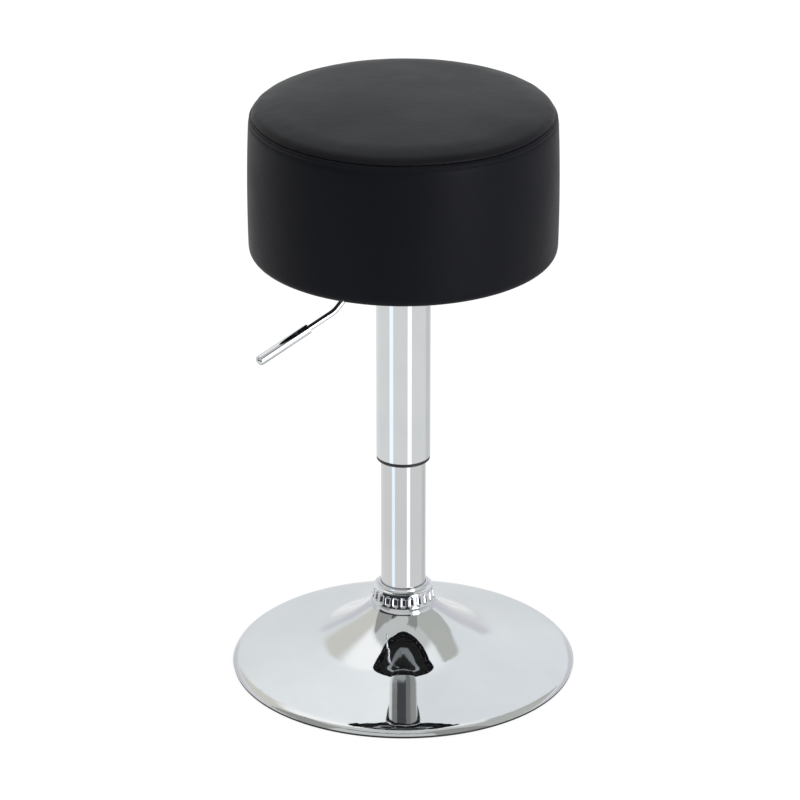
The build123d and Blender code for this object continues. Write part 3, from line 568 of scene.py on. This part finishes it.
def settle(bm):
    """Move a cover's points with the cloth beside them, then give them the sewn cover's unevenness."""
    for vert in bm.verts:
        if cloth_places:
            near = cloth_places.find_n(vert.co, NEIGHBOURS)
            weights = [1 / (distance + NEAREST * MM) for place, index, distance in near]
            moves = [cloth_moves[index] * weight for (place, index, distance), weight in zip(near, weights)]
            vert.co += sum(moves, Vector()) / sum(weights) * CLOTH_SHARE
        radius = vert.co.xy.length / MM
        level = vert.co.z / MM
        if radius == 0 or level < BOARD_TOP_Z:
            continue
        side = Vector((vert.co.x, vert.co.y, 0.0)).normalized()
        from_seam = math.hypot(radius - SEAM_R, level - SEAM_Z)
        ripple = RIPPLE * noise.noise(side * (SEAM_R / RIPPLE_LENGTH))
        ripple *= math.exp(-(from_seam / RIPPLE_REACH) ** 2)
        turn = math.degrees(math.atan2(side.y, side.x)) - DIP_AZIMUTH
        turn = (turn + 180.0) % 360.0 - 180.0
        wave = WAVE * noise.noise(side * (SEAM_R / WAVE_LENGTH)) - DIP * math.exp(-(turn / DIP_SPREAD) ** 2)
        vert.co.z += (ripple + wave * math.exp(-(from_seam / WAVE_REACH) ** 2)) * MM
        vert.co += side * ripple * MM


def add_piece(name, bm, finish):
    """A finished soft piece of the seat, riding on it, with its material and slot."""
    piece = add_object(name, bm)
    piece.data.materials.append(finish)
    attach(piece, "seat")
    return piece


def add_thickness(piece, thickness):
    """Give a cover its thickness, inwards, and smooth it once."""
    wall = piece.modifiers.new("thickness", "SOLIDIFY")
    wall.thickness = thickness * MM
    wall.offset = -1.0
    smooth = piece.modifiers.new("smooth", "SUBSURF")
    smooth.levels = 1
    smooth.render_levels = 1


def add_cover():
    """The sewn cover: a crowned top panel and a side band with its stitched fold and stapled hem."""
    crown = crown_outline(0.0)
    top = spun(crown + [(SEAM_R + out, SEAM_Z + up) for out, up in TOP_FOLD], COVER_SEGMENTS)
    settle(top)
    # The top panel takes the leather copy with the painted sheen
    panel = add_piece("seat_top_panel", top, top_leather_painted_sheen)
    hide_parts("seat_cover_top")
    add_thickness(panel, COVER_T)

    fold = [(SEAM_R + out, SEAM_Z - down) for out, down in BAND_FOLD[:-1]]
    side = spun(fold + wall_outline(0.0) + corner_outline(), COVER_SEGMENTS)
    settle(side)
    for vert in side.verts:
        radius = vert.co.xy.length / MM
        if vert.co.z / MM < UNDERSIDE_Z + MERGE:
            inward = (WALL_R - CORNER_R - radius) / HEM_W
            turn = math.atan2(vert.co.y, vert.co.x)
            vert.co.z -= HEM_GATHER * inward * (0.5 - 0.5 * math.cos(HEM_STAPLES * turn)) * MM
    # The band takes the duller copy of the same leather
    band = add_piece("seat_side_band", side, side_leather_duller_copy)
    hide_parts("seat_cover_band")
    add_thickness(band, COVER_T)


def add_stitching():
    """The top-stitching that holds the fold down, one capsule of thread after another in its groove."""
    bm = bmesh.new()
    outward = (SEAM_R + STITCH_OUT + THREAD_D / 4) * MM
    level = (SEAM_Z - STITCH_DROP) * MM
    for index in range(STITCHES):
        turned = Matrix.Rotation(math.tau * index / STITCHES, 4, "Z")
        moved = Matrix.Translation((outward, 0.0, level))
        shaped = Matrix.Diagonal((THREAD_D, STITCH_LENGTH, THREAD_D, 1.0))
        bmesh.ops.create_uvsphere(
            bm, u_segments=THREAD_SIDES, v_segments=THREAD_RINGS, radius=0.5 * MM,
            matrix=turned @ moved @ shaped,
        )
    settle(bm)
    add_piece("seat_stitching", bm, black_thread)


def add_foam():
    """The foam drum inside the cover, on the board."""
    crown = [(radius, level - FOAM_INSET) for radius, level in crown_outline(0.0)]
    crown = [(radius, level) for radius, level in crown if radius < SEAM_R - 2 * FOAM_INSET]
    low = BOARD_TOP_Z + FOAM_LIFT
    wall = [(radius - FOAM_INSET, level) for radius, level in wall_outline(0.0) if level > low]
    bm = spun(crown + wall + [(WALL_R - FOAM_INSET, low), (0.0, low)], FOAM_SEGMENTS)
    settle(bm)
    foam = add_piece("seat_padding", bm, cut_foam)
    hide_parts("seat_foam")


def add_lining():
    """The lining inside the hem: one sheet with its four bolt holes, hanging a little from the board."""
    bm = bmesh.new()
    bmesh.ops.create_circle(bm, segments=LINING_SEGMENTS, radius=(LINING_R - LINING_INSET) * MM)
    for across in (-BOLT_HOLES, BOLT_HOLES):
        for along in (-BOLT_HOLES, BOLT_HOLES):
            hole = Matrix.Translation((across * MM, along * MM, 0.0))
            bmesh.ops.create_circle(bm, segments=BOLT_HOLE_SEGMENTS, radius=BOLT_HOLE_R * MM, matrix=hole)
    bmesh.ops.triangle_fill(bm, use_beauty=True, edges=bm.edges, normal=(0, 0, -1))
    for cut in range(LINING_CUTS):
        long_edges = [edge for edge in bm.edges if edge.calc_length() > LINING_EDGE * MM]
        bmesh.ops.subdivide_edges(bm, edges=long_edges, cuts=1)
        bmesh.ops.triangulate(bm, faces=bm.faces)
    area = sum(face.calc_area() for face in bm.faces)
    for vert in bm.verts:
        slack = 1 - (vert.co.xy.length / MM / LINING_R) ** 2
        hang = noise.noise(vert.co * per_metre(LINING_SAG_LENGTH)) * slack * LINING_SAG
        vert.co.z = (LINING_Z + hang) * MM
    lining = add_piece("seat_lining", bm, spunbond)
    sheet = lining.modifiers.new("thickness", "SOLIDIFY")
    sheet.thickness = LINING_T * MM
    sheet.offset = 0.0
    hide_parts("dust_cover")
    across = 2 * (LINING_R - LINING_INSET) * MM


add_cover()
add_stitching()
add_foam()
add_lining()


# The room that the chrome mirrors, made up so that its mirror image comes close to the photograph's: azimuth
# from the camera's side, half width, lowest and highest elevation and softness, in degrees, with the light
# from there; one is white, and later rows cover earlier ones
ROOM_PANELS = [
    ("ceiling in front", 0.0, 105.0, 14.0, 95.0, 8.0, (0.80, 0.81, 0.79)),
    ("wall, right back", 150.0, 40.0, 16.0, 62.0, 9.0, (1.06, 1.09, 1.11)),
    ("dark corner, right", 140.0, 28.0, -60.0, 0.0, 10.0, (0.80, 0.80, 0.81)),
    ("doorway, right", 128.0, 34.0, -15.0, 18.0, 4.0, (0.84, 0.83, 0.88)),
    ("doorway, left", -130.0, 30.0, -15.0, 14.0, 4.0, (0.84, 0.83, 0.88)),
    ("wall, left", -123.0, 27.0, 20.0, 50.0, 5.0, (0.90, 0.88, 0.81)),
    ("window, left", -128.0, 26.0, 50.0, 78.0, 7.0, (1.43, 1.42, 1.40)),
    ("flat, left", -76.0, 24.0, 24.0, 57.5, 2.0, (0.46, 0.46, 0.44)),
    ("flat, right", 42.0, 19.0, 24.0, 68.5, 2.0, (0.42, 0.42, 0.41)),
    ("wall, right", 96.0, 34.0, 24.0, 63.0, 2.0, (0.66, 0.67, 0.63)),
    ("boom", -14.0, 37.0, 53.0, 58.0, 1.0, (0.14, 0.14, 0.15)),
    ("dark end of the room", -30.0, 55.0, -14.0, 11.0, 2.5, (0.05, 0.05, 0.06)),
    ("soft box, right", 44.0, 10.0, -15.0, 26.0, 2.0, (6.0, 6.0, 6.6)),
    ("lamp on the left", -52.0, 8.5, -45.0, -15.0, 1.5, (1.40, 1.55, 1.70)),
    ("lamp on the right", 27.0, 8.5, -45.0, -15.0, 1.5, (1.80, 1.80, 1.80)),
]
FLOOR_LIGHT = (1.0, 1.0, 1.0, 1.0)
HORIZON_LIGHT = (0.905, 0.93, 0.945, 1.0)
HEIGHT_LIGHT = (1.24, 1.27, 1.28, 1.0)
HEIGHT = 55.0              # elevation where the height's light is full
FLOOR_EDGE = -2.0          # elevation where floor and wall meet
FLOOR_EDGE_SOFT = 2.0


def add_studio():
    """White for the camera; for the stool a pale room with the panels above."""
    world = bpy.data.worlds.new("studio")
    scene.world = world
    world.use_nodes = True
    tree = world.node_tree
    turn = math.radians(VIEW_AZIMUTH)
    way = add_node(tree, "ShaderNodeTexCoord").outputs["Generated"]
    ahead = add_node(tree, "ShaderNodeVectorMath", {
        0: way, 1: (math.sin(turn), -math.cos(turn), 0.0),
    }, operation="DOT_PRODUCT").outputs["Value"]
    aside = add_node(tree, "ShaderNodeVectorMath", {
        0: way, 1: (math.cos(turn), math.sin(turn), 0.0),
    }, operation="DOT_PRODUCT").outputs["Value"]
    upward = add_node(tree, "ShaderNodeSeparateXYZ", {0: way}).outputs["Z"]
    azimuth = add_node(tree, "ShaderNodeMath", {0: aside, 1: ahead}, operation="ARCTAN2").outputs[0]
    elevation = add_node(tree, "ShaderNodeMath", {0: upward}, operation="ARCSINE").outputs[0]

    def between(angle, low, high, soft):
        """One between two angles in degrees, falling off softly outside them."""
        rise = add_node(tree, "ShaderNodeMapRange", {
            "Value": angle, "From Min": math.radians(low - soft), "From Max": math.radians(low + soft),
        }, interpolation_type="SMOOTHSTEP").outputs[0]
        fall = add_node(tree, "ShaderNodeMapRange", {
            "Value": angle, "From Min": math.radians(high + soft), "From Max": math.radians(high - soft),
        }, interpolation_type="SMOOTHSTEP").outputs[0]
        return add_node(tree, "ShaderNodeMath", {0: rise, 1: fall}, operation="MULTIPLY").outputs[0]

    height = add_node(tree, "ShaderNodeMapRange", {
        "Value": elevation, "From Min": 0.0, "From Max": math.radians(HEIGHT),
    }).outputs[0]
    walls = add_node(tree, "ShaderNodeMix", {
        "Factor": height, MIX_A: HORIZON_LIGHT, MIX_B: HEIGHT_LIGHT,
    }, data_type="RGBA").outputs[MIXED]
    light = add_node(tree, "ShaderNodeMix", {
        "Factor": between(elevation, FLOOR_EDGE, 180.0, FLOOR_EDGE_SOFT), MIX_A: FLOOR_LIGHT, MIX_B: walls,
    }, data_type="RGBA").outputs[MIXED]
    for label, middle, half, low, high, soft, colour in ROOM_PANELS:
        across = between(azimuth, middle - half, middle + half, soft)
        upright = between(elevation, low, high, soft)
        inside = add_node(tree, "ShaderNodeMath", {0: across, 1: upright}, operation="MULTIPLY").outputs[0]
        light = add_node(tree, "ShaderNodeMix", {
            "Factor": inside, MIX_A: light, MIX_B: (*colour, 1.0),
        }, data_type="RGBA", label=label).outputs[MIXED]
    rays = add_node(tree, "ShaderNodeLightPath")
    room = add_node(tree, "ShaderNodeBackground", {"Color": light, "Strength": 1.0})
    white = add_node(tree, "ShaderNodeBackground", {"Color": srgb("#FFFFFF"), "Strength": 1.0})
    shown = add_node(tree, "ShaderNodeMixShader", {
        0: rays.outputs["Is Camera Ray"], 1: room.outputs[0], 2: white.outputs[0],
    })
    tree.links.new(shown.outputs[0], tree.nodes["World Output"].inputs["Surface"])


add_studio()

FLOOR_HALF = 8.0           # metres
FLOOR_GLOW = 0.84          # white that the camera sees, besides the floor's own light
LAMP_HEIGHT = 2.6          # metres
LAMP_SIZE = 2.4
LAMP_WATTS = 5.0


def add_floor():
    """A pale floor: white for the camera with the stool's soft shadow, clear for mirrors and from below."""
    bm = bmesh.new()
    bmesh.ops.create_grid(bm, x_segments=1, y_segments=1, size=FLOOR_HALF)
    floor = add_object("floor", bm)
    paint = bpy.data.materials.new("pale_floor")
    paint.use_nodes = True
    floor.data.materials.append(paint)
    tree = paint.node_tree
    rays = add_node(tree, "ShaderNodeLightPath")
    behind = add_node(tree, "ShaderNodeNewGeometry").outputs["Backfacing"]
    matt = add_node(tree, "ShaderNodeBsdfDiffuse", {"Color": srgb("#E7E7E7")})
    faint = add_node(tree, "ShaderNodeBsdfDiffuse", {"Color": srgb("#828282")})
    glow = add_node(tree, "ShaderNodeEmission", {"Color": srgb("#FFFFFF"), "Strength": FLOOR_GLOW})
    pale = add_node(tree, "ShaderNodeAddShader", {0: faint.outputs[0], 1: glow.outputs[0]})
    solid = add_node(tree, "ShaderNodeMixShader", {
        0: rays.outputs["Is Camera Ray"], 1: matt.outputs[0], 2: pale.outputs[0],
    })
    clear = add_node(tree, "ShaderNodeBsdfTransparent")
    passed = add_node(tree, "ShaderNodeMath", {
        0: rays.outputs["Is Glossy Ray"], 1: behind,
    }, operation="MAXIMUM")
    shown = add_node(tree, "ShaderNodeMixShader", {
        0: passed.outputs[0], 1: solid.outputs[0], 2: clear.outputs[0],
    })
    tree.links.new(shown.outputs[0], tree.nodes["Material Output"].inputs["Surface"])


add_floor()


def add_lamp():
    """A large soft lamp overhead, for the shadow and for form."""
    panel = bpy.data.lights.new("overhead_lamp", "AREA")
    panel.size = LAMP_SIZE
    panel.energy = LAMP_WATTS
    lamp = bpy.data.objects.new("overhead_lamp", panel)
    lamp.location = (0.0, 0.0, LAMP_HEIGHT)
    lamp.visible_glossy = False
    scene.collection.objects.link(lamp)


add_lamp()


def add_camera():
    """The camera at the photograph's place."""
    lens = bpy.data.cameras.new("camera")
    lens.lens = CAMERA_LENS
    lens.sensor_width = CAMERA_SENSOR
    lens.clip_end = 100.0
    camera = bpy.data.objects.new("camera", lens)
    turn = math.radians(VIEW_AZIMUTH)
    camera.location = (
        math.sin(turn) * CAMERA_DISTANCE,
        -math.cos(turn) * CAMERA_DISTANCE,
        CAMERA_HEIGHT,
    )
    camera.rotation_euler = Euler((
        math.radians(90.0 - VIEW_PITCH), 0.0, math.radians(VIEW_AZIMUTH + VIEW_YAW),
    ))
    scene.collection.objects.link(camera)
    scene.camera = camera


add_camera()
